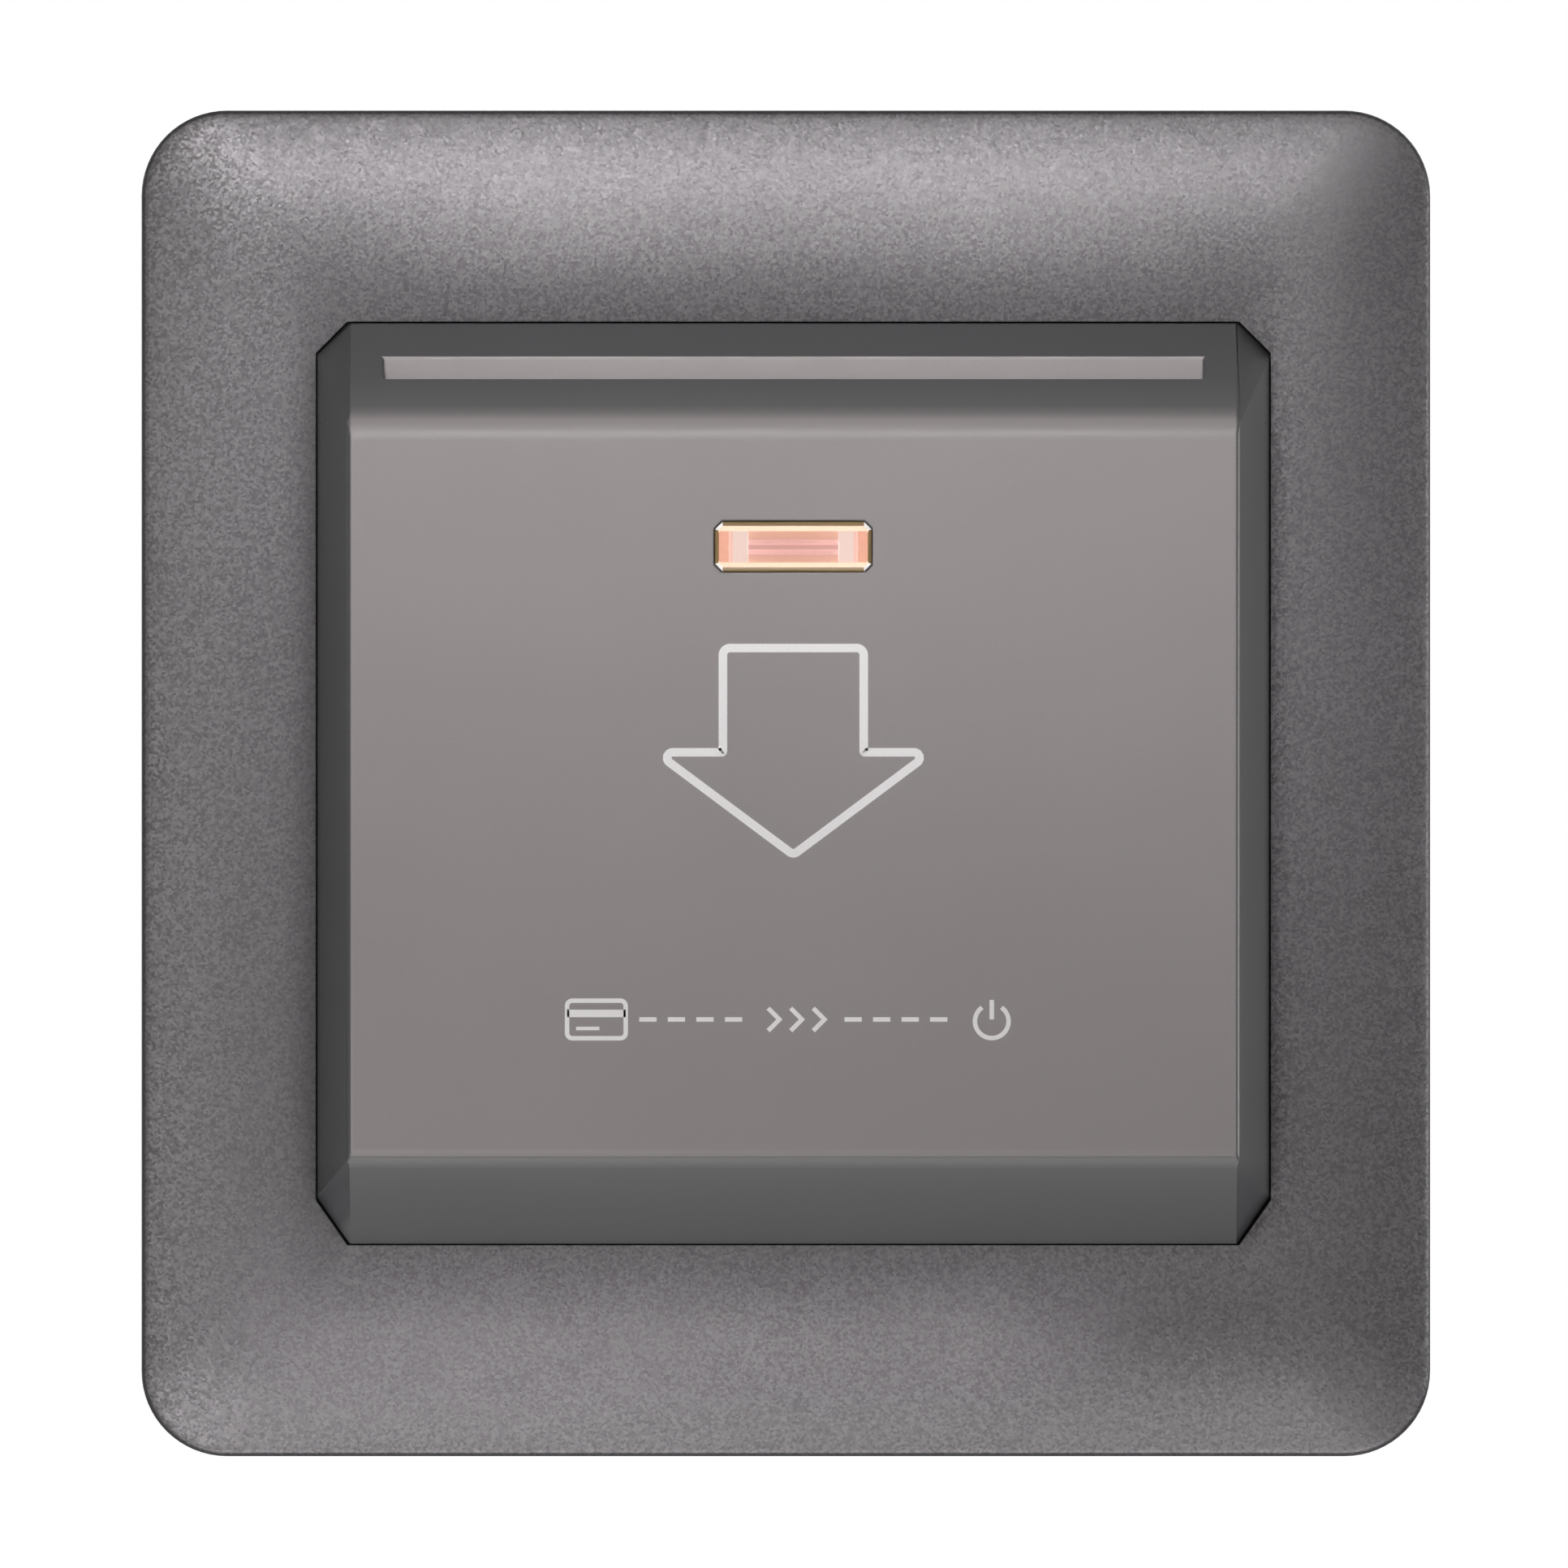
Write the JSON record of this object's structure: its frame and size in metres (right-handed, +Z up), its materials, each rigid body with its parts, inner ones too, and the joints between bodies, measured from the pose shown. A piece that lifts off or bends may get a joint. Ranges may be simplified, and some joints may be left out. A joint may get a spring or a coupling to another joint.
{
  "type": "hotel key card switch",
  "caption": "Square wall switch that a hotel key card works: grey clip-on plate, raised card holder with a top slot, neon locator window, rear base with screw terminals.",
  "frame": {"origin": "middle of the two wall fixing slots, on the wall plane behind the plate", "axes": "+X to the right seen from the front, +Y into the wall, +Z up; the front faces -Y"},
  "size_m": [0.086, 0.0427, 0.0898],
  "materials": {
    "plate_paint": "dark grey metallic paint with a fine sparkle on moulded plastic",
    "cover_plastic": "satin warm grey moulded plastic",
    "lens_plastic": "clear peach-tinted plastic",
    "zinc_steel": "zinc plated steel",
    "black_plastic": "fine-grained black moulded plastic",
    "white_plastic": "off-white moulded plastic",
    "ivory_plastic": "smooth ivory low-friction plastic",
    "red_plastic": "red moulded plastic",
    "spring_steel": "drawn spring wire",
    "bronze": "rolled bronze strip",
    "silver": "silver contact alloy",
    "brass": "stamped and drilled brass",
    "lamp_glass": "clear drawn glass",
    "electrode_metal": "coated nickel rod",
    "resistor_lacquer": "tan lacquered film resistor",
    "tinned_copper": "tinned copper wire"
  },
  "bodies": {
    "base": {"outer_plate": "plate_paint", "mounting_yoke": "zinc_steel", "front_cover": "cover_plastic", "lamp_window": "lens_plastic", "card_tray": "black_plastic", "base_housing": "white_plastic", "assembly_screws": "zinc_steel", "lever_pin": "zinc_steel", "lever_spring": "spring_steel", "switch_case": "black_plastic", "switch_lid": "red_plastic", "fixed_contact": "silver", "common_tab": "brass", "output_tab": "brass", "supply_strap": "brass", "output_strap": "brass", "terminal_carrier": "black_plastic", "supply_terminal": "brass", "output_terminal": "brass", "neutral_terminal": "brass", "terminal_screws": "zinc_steel", "lamp_tube": "lamp_glass", "lamp_electrodes": "electrode_metal", "lamp_holder": "white_plastic", "lamp_resistor": "resistor_lacquer", "lamp_lead_supply": "tinned_copper", "lamp_lead_neutral": "tinned_copper"},
    "lever": {"card_lever": "ivory_plastic"},
    "plunger": {"switch_plunger": "ivory_plastic"},
    "blade": {"contact_blade": "bronze", "moving_contact": "silver"}
  },
  "joints": [
    {"name": "lever_pivot", "type": "hinge", "parent": "base", "child": "lever", "pos_m": [0, -0.0055, 0.004], "axis": [1, 0, 0], "range_deg": [0, 13.9], "stiffness_Nm_per_rad": 0.02, "springref_deg": -20.05, "deforming": ["lever_spring"]},
    {"name": "plunger_slide", "type": "slide", "parent": "base", "child": "plunger", "axis": [0, 1, 0], "range_m": [0, 0.0018]},
    {"name": "blade_pivot", "type": "hinge", "parent": "base", "child": "blade", "pos_m": [0, 0.0056, -0.02], "axis": [1, 0, 0], "range_deg": [-6, 0]}
  ],
  "couplings": [
    {"joint": "plunger_slide", "follows": "lever_pivot", "m_per_rad": 0.0065},
    {"joint": "blade_pivot", "follows": "lever_pivot", "ratio": -0.37143}
  ]
}
